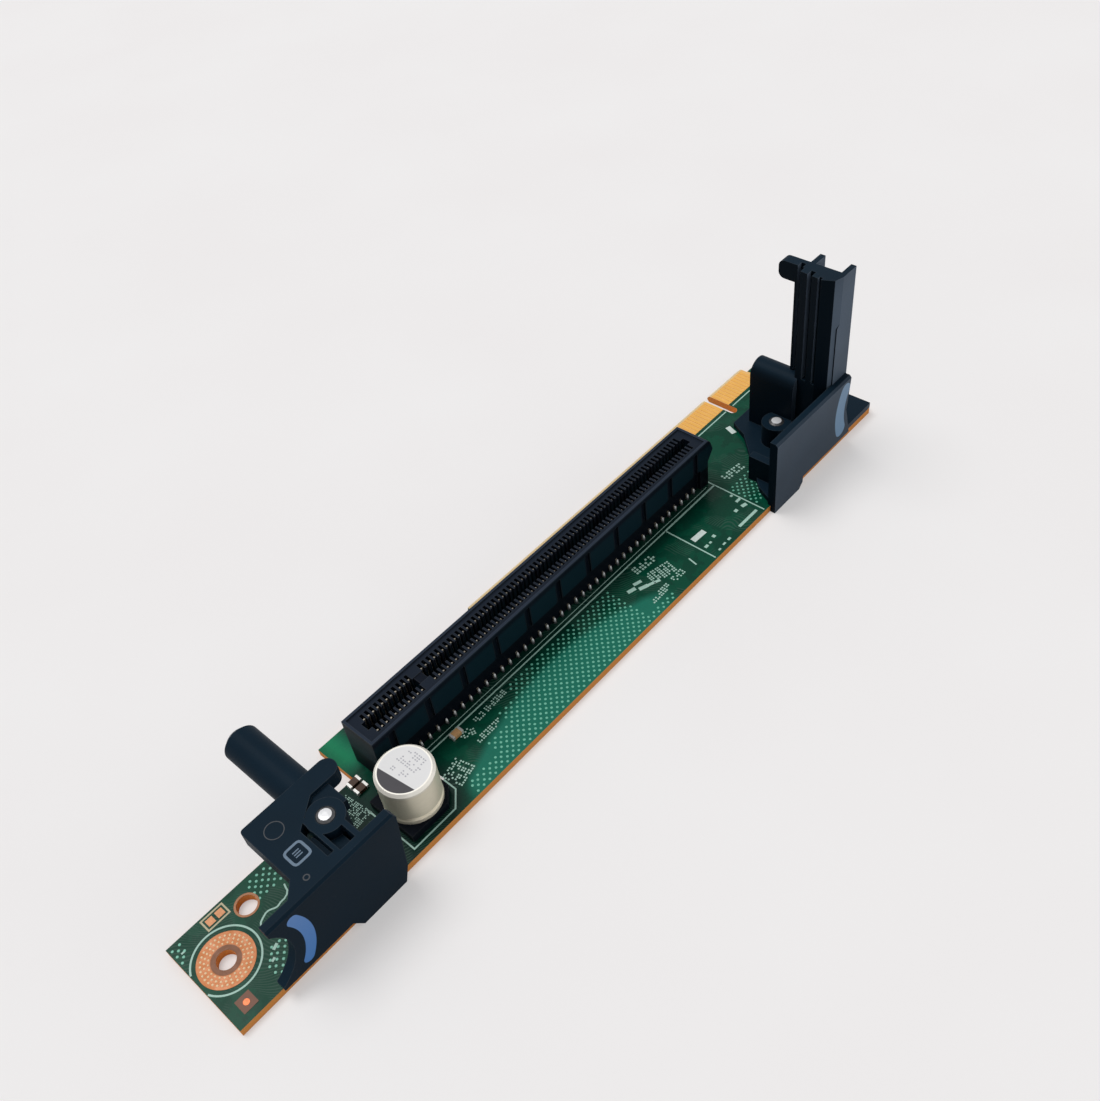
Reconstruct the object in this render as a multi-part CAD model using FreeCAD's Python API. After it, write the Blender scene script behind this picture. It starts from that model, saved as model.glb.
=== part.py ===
"""Riser card: a stepped circuit board with a long card slot standing on it.

A card-edge tab runs along the far side.  Two moulded brackets clip over the near
edge: the guide bracket carries a round guide post, the arm bracket a tall channel arm.

Millimetres, +Z up.  The origin is the axis of the fixing hole in the plane of the
board's underside.  +X runs along the board, +Y across it towards the card edge.
"""
import os
import math

import FreeCAD
import Part

V = FreeCAD.Vector
os.makedirs("parts", exist_ok=True)

# ---- board -----------------------------------------------------------------------
board_t = 1.57            # laminate thickness
board_len = 169.5
end_margin = 5.15         # left end to the fixing hole axis
near_margin = 10.27       # near edge to the fixing hole axis
neck_w = 18.9             # width of the narrow left part
wide_w = 28.2             # width beside the slot
tab_reach = 2.25          # how far the card-edge tab stands out past the wide part
neck_len = 38.2           # length of the narrow left part
corner_cut = 1.1          # chamfer of the near right corner
tab_len = 87.7            # card-edge tab length
tab_margin = 5.4          # right end of the board to the tab
tab_bevel = 0.55          # bevel along the tab's far edge
tab_corner = 0.8          # cut corners of the tab
notch_w = 1.9             # key notch
notch_depth = 8.35
notch_from_end = 11.65    # right end of the tab to the notch
fix_hole_d = 3.2
tool_hole_d = 3.4
tool_dx = 7.45            # tooling hole from the fixing hole
tool_dy = 4.69

# ---- contacts shared by tab and slot ---------------------------------------------
pitch = 1.0
key_gap = 1.5             # key centre to the nearest contact on either side
edge_keep = 0.85          # last contact centre kept this far inside its end
finger_w = 0.7
finger_len = 4.65
finger_t = 0.06
finger_back = 1.0         # tab edge to the finger tips

# ---- slot ------------------------------------------------------------------------
slot_dx = 35.85           # fixing hole to the slot's left end
slot_dy = 3.43            # fixing hole to the slot's near face
slot_len = 89.0
slot_w = 7.5
slot_h = 11.25
groove_w = 1.8            # groove that takes the card
groove_depth = 8.4
groove_wall = 1.8         # end wall of the groove
key_w = 1.7
key_from_left = 14.4      # slot's left end to the key centre
key_drop = 0.5            # key bar below the rim
cavity_w = 0.6
cavity_reach = 1.55       # cavity out from the groove
cavity_depth = 7.6
rim_w = 0.5               # raised rim round the top
rim_h = 0.35
panel_pitch = 8.1
panel_gap = 1.3           # upright groove between two wall panels
panel_step = 0.55         # panels stand out this far past the lower wall
panel_low = 5.2           # lower edge of the panels above the board
lower_step = 0.9          # lower wall set back
end_foot = 2.4            # full-width foot at each end of the slot
hook_out = 1.6            # latch hook past the right end of the slot
hook_cut = 0.8            # its upper edge starts this far below the slot's top
hook_h = 4.6
peg_d = 2.2               # locating peg of the slot in the board
peg_fit = 0.1
contact_w = 0.4
contact_t = 0.25
contact_top_gap = 0.9     # contact tips below the slot's top
tail_len = 1.3            # height of the tails that show below the wall
tail_out = 0.15           # tails stand out past the set-back wall

# ---- brackets: shared ------------------------------------------------------------
wall_top = 16.0           # wall height above the board
wall_t = 1.7
wall_out = 1.1            # outer face of the walls past the board's near edge
fit = 0.08                # play between a bracket and the board's edges
rim_cut = 0.45            # chamfer along the outer top edge of both walls
foot_gap = 1.0            # raised lower edge above the board beside each foot
rivet_d = 2.3
rivet_fit = 0.1
rivet_head_d = 2.9
rivet_head_h = 0.7

# ---- guide bracket ---------------------------------------------------------------
post_x = 22.7             # post axis from the fixing hole
post_d = 6.4
post_len = 16.0           # free length past the plate
post_root_len = 3.1       # tapered root on top of the plate
post_root_step = 0.3      # root stands out this far round the post
post_root_taper = 0.25    # root narrows by this much towards the boss
post_round = 0.9
gwall_left = 2.75         # toe of the wall
gwall_horn = 4.6          # blunt upper tip of the wall
gwall_right = 28.65       # widest point of the wall on the right
gwall_lean = 2.3          # lower right corner drawn in
gwall_shoulder = 0.6      # chamfer at the upper right
gfoot_left = 17.55        # foot beside the board's edge, left end
gfoot_slope = 1.6
scoop_x = -1.25           # concave left end
scoop_z = 9.0             # above the board
scoop_r = 8.2
plate_left = 11.95
plate_far_dy = 14.8       # near edge to the far side of the plate
plate_t = 3.0
plate_fillet = 2.2
plate_corner = 0.7
boss_dx = -0.8            # boss from the post axis
boss_dy = 6.72            # near edge to the boss axis
boss_r = 3.1
rib_a_dx = -3.45          # centre of the left rib from the post axis
rib_a_w = 0.7
rib_b_dx = 0.15           # centre of the right rib from the post axis
rib_b_w = 0.9
rib_low = 1.0             # lower edge of the ribs above the board
lug_reach = 6.3           # lug beyond the post axis
lug_w = 3.6
slot_gap = 1.1            # narrow slot between plate and left rib
pocket_t = 1.0            # floor of the recess between plate and boss

# ---- arm bracket -----------------------------------------------------------------
awall_from_end = 37.7     # right end of the board to the wall's left end
awall_len = 25.5
afoot_len = 9.7           # foot beside the board's edge
afoot_round = 1.2
awall_hollow = 0.9        # depth of the concave right end
arm_wall_heel = 1.0       # lower right corner past the upper one
base_t = 1.2
base_margin = 1.05        # base plate inside the board's right end
base_far_dy = 19.67       # near edge to the far side of the base plate
base_tip_dx = 15.35       # wall's left end to the far left corner of the base plate
base_side = 4.0           # straight side of the base at the wall
aboss_dx = 15.8
aboss_dy = 9.5
aboss_h = 6.0
aboss_r = 3.0
hood_dx = 20.4
hood_r = 2.8
hood_near_dy = 7.27       # near edge to the hood
hood_len = 10.1
arm_top = 40.0            # above the board
arm_dx = 22.75            # wall's left end to the open face of the channel web
arm_near_dy = 0.45        # board's near edge to the channel
arm_w = 9.5               # channel width across the board
web_t = 2.2               # web thickness along its far strip
back_t = 4.0              # thickness of the ribbed back
back_y0 = 2.8             # near face to the full thickness
back_y1 = 7.5             # near face to the step down to the web
flange_out = 3.2
flange_t = 1.1
flange_2 = 6.5            # near face to the second flange
arm_skirt = 1.9           # lower part of the near flange widened to the left
skirt_top = 29.0
skirt_slope = 2.0
arm_grooves = [           # upright grooves in the back: start from near face, width, depth
    (2.9, 0.7, 0.7),
    (4.95, 1.0, 1.6),
    (7.9, 1.05, 1.2),
]
arm_tab_reach = 3.6
arm_tab_h = 3.8
arm_tab_r = 1.3

# ---- small parts -----------------------------------------------------------------
cap_dx = 0.6              # slot's left end to the capacitor axis
cap_dy = 6.6              # slot's near face to the capacitor axis
cap_d = 10.0
cap_h = 9.9
cap_seat_w = 10.3
cap_seat_h = 1.6
cap_seat_cut = 2.4
cap_groove_z = 3.0        # crimped neck above the board
cap_groove_d = 0.35
cap_groove_h = 0.9
cap_round = 0.45
cap_term_w = 1.1
cap_term_t = 0.2
cap_term_out = 0.9
chip_len = 2.4
chip_w = 1.25
chip_h = 0.75
chip_end = 0.45
chip_left_dx = 3.35       # two chips left of the slot
chip_far_dy = 4.3         # slot's near face to the farther one
chip_mid_dy = 2.5
chip_front_dx = 14.1      # one chip in front of the slot
chip_front_dy = 2.45
land_d = 9.2              # copper land round the fixing hole
land_t = 0.06
tool_rim_d = 4.1
pad_w = 2.6               # fiducial square
pad_t = 0.05
pad_dx = -1.92            # fiducial from the fixing hole
pad_dy = -7.55
test_pad_dx = 3.05        # pair of test pads
test_pad_dy = 7.0
test_pad_w = 1.3
test_pad_gap = 1.8

# ---- derived stations ------------------------------------------------------------
left_end = -end_margin
right_end = left_end + board_len
near_edge = -near_margin
neck_far = near_edge + neck_w
wide_far = near_edge + wide_w
tab_far = wide_far + tab_reach
wide_x = left_end + neck_len
tab_x1 = right_end - tab_margin
tab_x0 = tab_x1 - tab_len
notch_x = tab_x1 - notch_from_end - notch_w / 2
key_x = slot_dx + key_from_left
slot_mid = slot_dy + slot_w / 2
slot_top = board_t + slot_h
wall_outer = near_edge - wall_out
wall_inner = wall_outer + wall_t
wall_z = board_t + wall_top
boss_x = post_x + boss_dx
boss_y = near_edge + boss_dy
plate_far = near_edge + plate_far_dy
awall_left = right_end - awall_from_end
awall_right = awall_left + awall_len
base_right = right_end - base_margin
base_far = near_edge + base_far_dy
base_tip_x = awall_left + base_tip_dx
aboss_x = awall_left + aboss_dx
aboss_y = near_edge + aboss_dy
hood_x = awall_left + hood_dx
hood_near = near_edge + hood_near_dy
arm_x = awall_left + arm_dx
arm_near = near_edge + arm_near_dy
cap_x = slot_dx + cap_dx
cap_y = slot_dy - cap_dy


def box(x0, x1, y0, y1, z0, z1):
    """Axis-aligned block between two corners."""
    return Part.makeBox(x1 - x0, y1 - y0, z1 - z0, V(x0, y0, z0))


def rod(x, y, z, radius, length, axis=V(0, 0, 1)):
    """Round bar from a base point along an axis."""
    return Part.makeCylinder(radius, length, V(x, y, z), axis)


def plan(points, z0, z1):
    """Upright prism over a plan outline of (x, y) points."""
    wire = Part.makePolygon([V(x, y, z0) for x, y in points + points[:1]])
    return Part.Face(wire).extrude(V(0, 0, z1 - z0))


def front(points, y0, y1):
    """Prism along Y over a front outline of (x, z) points."""
    wire = Part.makePolygon([V(x, y0, z) for x, z in points + points[:1]])
    return Part.Face(wire).extrude(V(0, y1 - y0, 0))


def side(points, x0, x1):
    """Prism along X over a side outline of (y, z) points."""
    wire = Part.makePolygon([V(x0, y, z) for y, z in points + points[:1]])
    return Part.Face(wire).extrude(V(x1 - x0, 0, 0))


def join(shapes):
    """Fuse a list of shapes into one and drop seams."""
    return shapes[0].fuse(shapes[1:]).removeSplitter()


def group(shapes):
    """Like pieces that stand apart, kept together in one node."""
    return Part.makeCompound(shapes)


def edges_where(shape, test):
    """Edges whose midpoint and length satisfy a test."""
    found = []
    for edge in shape.Edges:
        middle = edge.valueAt((edge.FirstParameter + edge.LastParameter) / 2)
        if test(middle, edge):
            found.append(edge)
    return found


def turned(points, x, y):
    """Solid of revolution about a vertical axis from a (radius, z) profile."""
    wire = Part.makePolygon([V(x + r, y, z) for r, z in points + points[:1]])
    return Part.Face(wire).revolve(V(x, y, 0), V(0, 0, 1), 360)


def contact_stations(centre, left_reach, right_reach):
    """X of every contact on both sides of a key, as many as each reach holds."""
    stations = []
    for direction, reach in ((-1, left_reach), (1, right_reach)):
        count = int((reach - key_gap - edge_keep) / pitch) + 1
        stations += [centre + direction * (key_gap + i * pitch) for i in range(count)]
    return sorted(stations)


def save(shape, name):
    shape.exportStep("parts/" + name + ".step")


# ---- circuit board ---------------------------------------------------------------
slot_stations = contact_stations(key_x, key_from_left - groove_wall,
                                 slot_len - key_from_left - groove_wall)
peg_stations = [slot_dx + end_foot / 2, key_x, slot_dx + slot_len - end_foot / 2]

outline = [
    (left_end, near_edge),
    (right_end - corner_cut, near_edge),
    (right_end, near_edge + corner_cut),
    (right_end, wide_far),
    (tab_x1, wide_far),
    (tab_x1, tab_far - tab_corner),
    (tab_x1 - tab_corner, tab_far),
    (tab_x0 + tab_corner, tab_far),
    (tab_x0, tab_far - tab_corner),
    (tab_x0, wide_far),
    (wide_x, wide_far),
    (wide_x, neck_far),
    (left_end, neck_far),
]
board = plan(outline, 0, board_t)
notch_root = tab_far - notch_depth + notch_w / 2
board = board.cut(box(notch_x - notch_w / 2, notch_x + notch_w / 2, notch_root,
                      tab_far + 1, -1, board_t + 1))
board = board.cut(rod(notch_x, notch_root, -board_t, notch_w / 2, 3 * board_t))
bevel_lines = edges_where(board, lambda m, e: abs(m.y - tab_far) < 0.01
                          and abs(e.Vertexes[0].Z - e.Vertexes[-1].Z) < 0.01)
board = board.makeChamfer(tab_bevel, bevel_lines)
finger_y1 = tab_far - finger_back
finger_y0 = finger_y1 - finger_len
board = board.cut(box(tab_x0 - 1, tab_x1 + 1, finger_y0, tab_far + 1, -1, finger_t))
board = board.cut(rod(0, 0, -board_t, fix_hole_d / 2, 3 * board_t))
board = board.cut(rod(tool_dx, tool_dy, -board_t, tool_hole_d / 2, 3 * board_t))
for x, y in ((boss_x, boss_y), (aboss_x, aboss_y)):
    board = board.cut(rod(x, y, -board_t, rivet_d / 2 + rivet_fit, 3 * board_t))
for x in peg_stations:
    board = board.cut(rod(x, slot_mid, -board_t, peg_d / 2 + peg_fit, 3 * board_t))
save(board, "circuit_board")

# ---- card-edge contacts ----------------------------------------------------------
finger_stations = contact_stations(notch_x, notch_x - tab_x0, tab_x1 - notch_x)


def fingers(z0, z1):
    """Gold fingers side by side on one face of the tab."""
    return group([box(x - finger_w / 2, x + finger_w / 2, finger_y0, finger_y1, z0, z1)
                  for x in finger_stations])


save(fingers(board_t, board_t + finger_t), "edge_contacts_top")
save(fingers(0, finger_t), "edge_contacts_bottom")

# ---- slot housing ----------------------------------------------------------------
slot_x1 = slot_dx + slot_len
slot_y1 = slot_dy + slot_w
groove_y0 = slot_mid - groove_w / 2
groove_y1 = slot_mid + groove_w / 2
groove_floor = slot_top - groove_depth
floor_z = slot_top - rim_h


def wall_section():
    """Side outline of the housing: panels above, set-back wall below, raised rim."""
    step_z = board_t + panel_low
    return [
        (slot_dy + lower_step, board_t),
        (slot_dy + lower_step, step_z - lower_step),
        (slot_dy, step_z),
        (slot_dy, slot_top),
        (slot_y1, slot_top),
        (slot_y1, step_z),
        (slot_y1 - lower_step, step_z - lower_step),
        (slot_y1 - lower_step, board_t),
    ]


housing = side(wall_section(), slot_dx, slot_x1)
for x in (slot_dx, slot_x1 - end_foot):
    housing = housing.fuse(box(x, x + end_foot, slot_dy, slot_y1, board_t, slot_top))
hook_z = slot_top - hook_cut
hook_face = [
    (slot_x1 - end_foot / 2, slot_top),
    (slot_x1, slot_top),
    (slot_x1 + hook_out / 2, hook_z),
    (slot_x1 + hook_out, hook_z - hook_h / 2),
    (slot_x1, hook_z - hook_h),
    (slot_x1 - end_foot / 2, hook_z - hook_h),
]
housing = housing.fuse(front(hook_face, slot_dy, slot_y1))
housing = housing.cut(box(slot_dx + rim_w, slot_x1 - rim_w, slot_dy + rim_w, slot_y1 - rim_w,
                          floor_z, slot_top + 1))
groove = box(slot_dx + groove_wall, slot_x1 - groove_wall, groove_y0, groove_y1,
             groove_floor, slot_top + 1)
key_bar = box(key_x - key_w / 2, key_x + key_w / 2, groove_y0, groove_y1,
              groove_floor, slot_top - key_drop)
cutters = [groove.cut(key_bar)]
for x in slot_stations:
    cutters.append(box(x - cavity_w / 2, x + cavity_w / 2, groove_y0 - cavity_reach,
                       groove_y1 + cavity_reach, slot_top - cavity_depth, slot_top + 1))
panel_count = int((slot_len - 2 * end_foot) / panel_pitch)
panel_start = slot_dx + (slot_len - panel_count * panel_pitch) / 2
for i in range(panel_count + 1):
    x = panel_start + i * panel_pitch
    for y0, y1 in ((slot_dy - 1, slot_dy + panel_step), (slot_y1 - panel_step, slot_y1 + 1)):
        cutters.append(box(x - panel_gap / 2, x + panel_gap / 2, y0, y1,
                           board_t + panel_low - lower_step, slot_top - 2 * rim_w))
housing = housing.cut(Part.makeCompound(cutters))
pegs = [rod(x, slot_mid, board_t / 2, peg_d / 2, groove_floor - board_t / 2)
        for x in peg_stations]
housing = join([housing] + pegs)
save(housing, "slot_housing")

# ---- slot contacts ---------------------------------------------------------------
spring_top = slot_top - contact_top_gap
cavity_floor = slot_top - cavity_depth


def contact_row(direction):
    """Spring strips on one side of the groove; every other one shows a tail outside."""
    strips = []
    strip_y = slot_mid + direction * (groove_w / 2 + cavity_reach / 2)
    tail_y = slot_mid + direction * (slot_w / 2 - lower_step + tail_out / 2)
    for i, x in enumerate(slot_stations):
        x0 = x - contact_w / 2
        x1 = x + contact_w / 2
        strips.append(box(x0, x1, strip_y - contact_t / 2, strip_y + contact_t / 2,
                          cavity_floor, spring_top))
        if i % 2 == 0:
            strips.append(box(x0, x1, tail_y - tail_out / 2, tail_y + tail_out / 2,
                              board_t, board_t + tail_len))
    return group(strips)


save(contact_row(-1), "slot_contacts_near")
save(contact_row(1), "slot_contacts_far")

# ---- guide bracket ---------------------------------------------------------------
low_z = board_t + foot_gap
guide_face = [
    (gwall_left, low_z),
    (gfoot_left - gfoot_slope, low_z),
    (gfoot_left, 0),
    (gwall_right - gwall_lean, 0),
    (gwall_right - gwall_lean / 2, board_t + foot_gap * 2),
    (gwall_right, wall_z - 2 * gwall_shoulder),
    (gwall_right - gwall_shoulder, wall_z),
    (gwall_horn, wall_z),
    (gwall_horn, board_t + scoop_z),
    (gwall_left, board_t + scoop_z),
]
guide_wall = front(guide_face, wall_outer, wall_inner)
scoop = rod(scoop_x, wall_outer - 1, board_t + scoop_z, scoop_r, wall_t + 2, V(0, 1, 0))
guide_wall = guide_wall.cut(scoop)
rim_line = edges_where(guide_wall, lambda m, e: abs(m.y - wall_outer) < 0.01
                       and abs(m.z - wall_z) < 0.01)
guide_wall = guide_wall.makeChamfer(rim_cut, rim_line)

rib_a_x = post_x + rib_a_dx
rib_b_x = post_x + rib_b_dx
plate_right = rib_a_x - rib_a_w / 2 - slot_gap
plate_z = wall_z - plate_t
plate = plan([
    (plate_left, plate_far),
    (post_x, plate_far),
    (post_x, plate_far - lug_w),
    (plate_right, plate_far - lug_w * 2),
    (plate_right, wall_inner),
    (plate_left - plate_fillet, wall_inner),
    (plate_left, wall_inner + plate_fillet),
], plate_z, wall_z)
plate_corners = edges_where(plate, lambda m, e: abs(m.x - plate_left) < 0.01
                            and abs(m.z - (plate_z + wall_z) / 2) < 0.01 and m.y > 0)
plate = plate.makeFillet(plate_corner, plate_corners)

post_z = wall_z - post_d / 2
post = rod(post_x, plate_far, post_z, post_d / 2, post_len, V(0, 1, 0))
post_tip = edges_where(post, lambda m, e: abs(m.y - plate_far - post_len) < 0.01)
root_r = post_d / 2 + post_root_step
post_root = Part.makeCone(root_r - post_root_taper, root_r, post_root_len,
                          V(post_x, plate_far - post_root_len, post_z - post_root_step),
                          V(0, 1, 0))
post = post.makeChamfer(post_round, post_tip)
lug = box(post_x, post_x + lug_reach - lug_w / 2, plate_far - lug_w, plate_far,
          plate_z, wall_z)
lug_end = rod(post_x + lug_reach - lug_w / 2, plate_far - lug_w / 2, plate_z,
              lug_w / 2, plate_t)
root_block = box(post_x - post_d / 2, post_x + post_d / 2, boss_y, plate_far,
                 post_z, wall_z - plate_t / 4)
boss = rod(boss_x, boss_y, board_t, boss_r, wall_top)
rib_a = box(rib_a_x - rib_a_w / 2, rib_a_x + rib_a_w / 2, wall_inner, boss_y + boss_r,
            board_t + rib_low, wall_z)
rib_b = box(rib_b_x - rib_b_w / 2, rib_b_x + rib_b_w / 2, wall_inner, boss_y,
            board_t + rib_low, wall_z)
bridge = box(rib_a_x, boss_x, boss_y - rib_a_w / 2, boss_y + rib_a_w / 2,
             board_t + rib_low, wall_z)
web = box(plate_right, rib_a_x, wall_inner, wall_inner + rib_a_w, plate_z, wall_z)
pocket = box(plate_right, boss_x, wall_inner, boss_y, plate_z, plate_z + pocket_t)
guide = join([guide_wall, plate, post, post_root, lug, lug_end, root_block, boss, rib_a, rib_b,
              bridge, web, pocket])
bore_r = rivet_d / 2 + rivet_fit
guide = guide.cut(rod(boss_x, boss_y, 0, bore_r, wall_z + 1))
guide = guide.cut(rod(boss_x, boss_y, wall_z - rivet_head_h / 2,
                      rivet_head_d / 2 + rivet_fit, rivet_head_h))
board_space = box(left_end - 1, right_end + 1, near_edge - fit, wide_far + 1, -1, board_t)
guide = guide.cut(board_space)
save(guide, "guide_bracket")

# ---- arm bracket -----------------------------------------------------------------
mid_z = board_t + wall_top / 2
arm_face = [
    (awall_left, 0),
    (awall_left + afoot_len - afoot_round, 0),
    (awall_left + afoot_len, afoot_round),
    (awall_left + afoot_len, low_z),
    (awall_right + arm_wall_heel, low_z),
    (awall_right + arm_wall_heel - awall_hollow, (low_z + mid_z) / 2),
    (awall_right - awall_hollow, mid_z),
    (awall_right - awall_hollow / 2, (wall_z + mid_z) / 2),
    (awall_right, wall_z),
    (awall_left, wall_z),
]
arm_wall = front(arm_face, wall_outer, wall_inner)
rim_line = edges_where(arm_wall, lambda m, e: abs(m.y - wall_outer) < 0.01
                       and abs(m.z - wall_z) < 0.01)
arm_wall = arm_wall.makeChamfer(rim_cut, rim_line)

base_z = board_t + base_t
base = plan([
    (awall_left, wall_inner - wall_t / 2),
    (awall_left + base_side / 2, near_edge + base_side),
    (base_tip_x - base_side / 2, base_far - base_side),
    (base_tip_x, base_far),
    (base_right - base_side, base_far),
    (base_right, base_far - base_side),
    (base_right, near_edge),
    (base_right - corner_cut, near_edge - fit),
    (awall_right, near_edge - fit),
], board_t, base_z)

hood_z = wall_z - hood_r
hood = rod(hood_x, hood_near, hood_z, hood_r, hood_len, V(0, 1, 0))
hood_body = box(hood_x - hood_r, hood_x + hood_r, hood_near,
                hood_near + hood_len, board_t, hood_z)
aboss = rod(aboss_x, aboss_y, board_t, aboss_r, aboss_h)
aboss_web = box(aboss_x, hood_x, aboss_y - aboss_r / 2, aboss_y + aboss_r / 2,
                board_t, board_t + aboss_h)
leg = box(awall_left + base_side, awall_left + base_side + wall_t, wall_inner,
          near_edge + 2 * base_side, board_t, board_t + aboss_h)

arm_z = board_t + arm_top
arm_far = arm_near + arm_w
web_block = plan([
    (arm_x, arm_near),
    (arm_x - web_t / 2, arm_near),
    (arm_x - back_t * 0.75, arm_near + flange_t / 2),
    (arm_x - back_t, arm_near + back_y0),
    (arm_x - back_t * 0.9, arm_near + back_y1),
    (arm_x - web_t, arm_near + back_y1),
    (arm_x - web_t, arm_far),
    (arm_x, arm_far),
], board_t, arm_z)
grooves = []
for start, width, depth in arm_grooves:
    face = arm_x - (back_t if start < back_y1 else web_t)
    y0 = arm_near + start
    grooves.append(box(face - 1, face + depth, y0, y0 + width, wall_z, arm_z + 1))
web_block = web_block.cut(Part.makeCompound(grooves))
flanges = [
    box(arm_x, arm_x + flange_out, arm_near, arm_near + flange_t, board_t, arm_z),
    box(arm_x, arm_x + flange_out, arm_near + flange_2,
        arm_near + flange_2 + flange_t, board_t, arm_z),
]
skirt = front([
    (arm_x, board_t),
    (arm_x - arm_skirt, board_t),
    (arm_x - arm_skirt, board_t + skirt_top),
    (arm_x, board_t + skirt_top + skirt_slope),
], arm_near, arm_near + flange_t)
tab = box(arm_x - web_t, arm_x, arm_far, arm_far + arm_tab_reach, arm_z - arm_tab_h, arm_z)
tab_ends = edges_where(tab, lambda m, e: abs(m.y - arm_far - arm_tab_reach) < 0.01
                       and abs(m.x - arm_x + web_t / 2) < 0.01)
tab = tab.makeFillet(arm_tab_r, tab_ends)
arm = join([arm_wall, base, hood, hood_body, aboss, aboss_web, leg, web_block, skirt, tab]
           + flanges)
arm = arm.cut(rod(aboss_x, aboss_y, 0, bore_r, aboss_h + board_t + 1))
arm = arm.cut(rod(aboss_x, aboss_y, board_t + aboss_h - rivet_head_h / 2,
                  rivet_head_d / 2 + rivet_fit, rivet_head_h))
arm = arm.cut(board_space)
save(arm, "arm_bracket")

# ---- rivets ----------------------------------------------------------------------


def rivet(x, y, seat_z):
    """Pin through a boss and the board with a low domed head."""
    head_z = seat_z - rivet_head_h / 2
    top_z = head_z + rivet_head_h
    head_r = rivet_head_d / 2
    return turned([
        (0, 0),
        (rivet_d / 2, 0),
        (rivet_d / 2, head_z),
        (head_r, head_z),
        (head_r, head_z + rivet_head_h / 2),
        (head_r * 0.7, top_z - rivet_head_h / 8),
        (head_r * 0.3, top_z),
        (0, top_z),
    ], x, y)


save(rivet(boss_x, boss_y, wall_z), "guide_bracket_rivet")
save(rivet(aboss_x, aboss_y, board_t + aboss_h), "arm_bracket_rivet")

# ---- capacitor -------------------------------------------------------------------
seat_z = board_t + cap_term_t
half = cap_seat_w / 2
seat = plan([
    (cap_x - half, cap_y - half),
    (cap_x + half - cap_seat_cut, cap_y - half),
    (cap_x + half, cap_y - half + cap_seat_cut),
    (cap_x + half, cap_y + half - cap_seat_cut),
    (cap_x + half - cap_seat_cut, cap_y + half),
    (cap_x - half, cap_y + half),
], seat_z, seat_z + cap_seat_h)
can_z = seat_z + cap_seat_h / 2
seat = seat.cut(rod(cap_x, cap_y, can_z, cap_d / 2, cap_seat_h))
save(seat, "capacitor_seat")
can_top = board_t + cap_h
can_r = cap_d / 2
neck_z = board_t + cap_groove_z
can = turned([
    (0, can_z),
    (can_r, can_z),
    (can_r, neck_z - cap_groove_h / 2),
    (can_r - cap_groove_d, neck_z),
    (can_r, neck_z + cap_groove_h / 2),
    (can_r, can_top - cap_round),
    (can_r - cap_round, can_top),
    (0, can_top),
], cap_x, cap_y)
save(can, "capacitor_can")
term_x = half + cap_term_out
terminals = [box(cap_x - term_x, cap_x - half / 3, cap_y - cap_term_w / 2,
                 cap_y + cap_term_w / 2, board_t, seat_z),
             box(cap_x + half / 3, cap_x + term_x, cap_y - cap_term_w / 2,
                 cap_y + cap_term_w / 2, board_t, seat_z)]
save(group(terminals), "capacitor_terminals")

# ---- chips -----------------------------------------------------------------------
chip_places = [
    (slot_dx - chip_left_dx, slot_dy + chip_far_dy),
    (slot_dx - chip_left_dx, slot_dy + chip_mid_dy),
    (slot_dx + chip_front_dx, slot_dy - chip_front_dy),
]
bodies = []
ends = []
for x, y in chip_places:
    x0 = x - chip_len / 2
    x1 = x + chip_len / 2
    y0 = y - chip_w / 2
    y1 = y + chip_w / 2
    bodies.append(box(x0 + chip_end, x1 - chip_end, y0, y1, board_t, board_t + chip_h))
    ends.append(box(x0, x0 + chip_end, y0, y1, board_t, board_t + chip_h))
    ends.append(box(x1 - chip_end, x1, y0, y1, board_t, board_t + chip_h))
save(group(bodies), "ceramic_chips")
save(group(ends), "chip_end_caps")

# ---- copper on the board ---------------------------------------------------------
land = rod(0, 0, board_t, land_d / 2, land_t)
land = land.cut(rod(0, 0, 0, fix_hole_d / 2, 2 * board_t))
save(land, "fixing_hole_land")
rim = rod(tool_dx, tool_dy, board_t, tool_rim_d / 2, land_t)
rim = rim.cut(rod(tool_dx, tool_dy, 0, tool_hole_d / 2, 2 * board_t))
save(rim, "tooling_hole_rim")
fiducial = box(pad_dx - pad_w / 2, pad_dx + pad_w / 2, pad_dy - pad_w / 2,
               pad_dy + pad_w / 2, board_t, board_t + pad_t)
save(fiducial, "fiducial_pad")
pads = []
for shift in (-test_pad_gap / 2, test_pad_gap / 2):
    x = test_pad_dx + shift
    pads.append(box(x - test_pad_w / 2, x + test_pad_w / 2, test_pad_dy - test_pad_w / 2,
                    test_pad_dy + test_pad_w / 2, board_t, board_t + pad_t))
save(group(pads), "test_pads")
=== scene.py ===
"""Riser card: finishes, printed legend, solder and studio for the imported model."""
import math

import bpy
import numpy as np
from bpy.props import FloatProperty, FloatVectorProperty, IntProperty, PointerProperty
from mathutils import Matrix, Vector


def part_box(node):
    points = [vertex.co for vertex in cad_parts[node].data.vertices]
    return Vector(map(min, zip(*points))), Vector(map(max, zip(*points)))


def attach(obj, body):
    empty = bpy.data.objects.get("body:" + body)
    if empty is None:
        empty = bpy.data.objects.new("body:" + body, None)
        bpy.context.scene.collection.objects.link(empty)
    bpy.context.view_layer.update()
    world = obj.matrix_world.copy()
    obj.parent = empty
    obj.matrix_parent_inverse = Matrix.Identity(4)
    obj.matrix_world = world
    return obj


bl_info = {
    "name": "Riser Card Builder",
    "version": (1, 0, 0),
    "blender": (4, 5, 0),
    "location": "View3D > Sidebar > Riser Card",
    "description": "Finishes, legend, solder and studio of a slotted riser card",
    "category": "Object",
}

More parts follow.
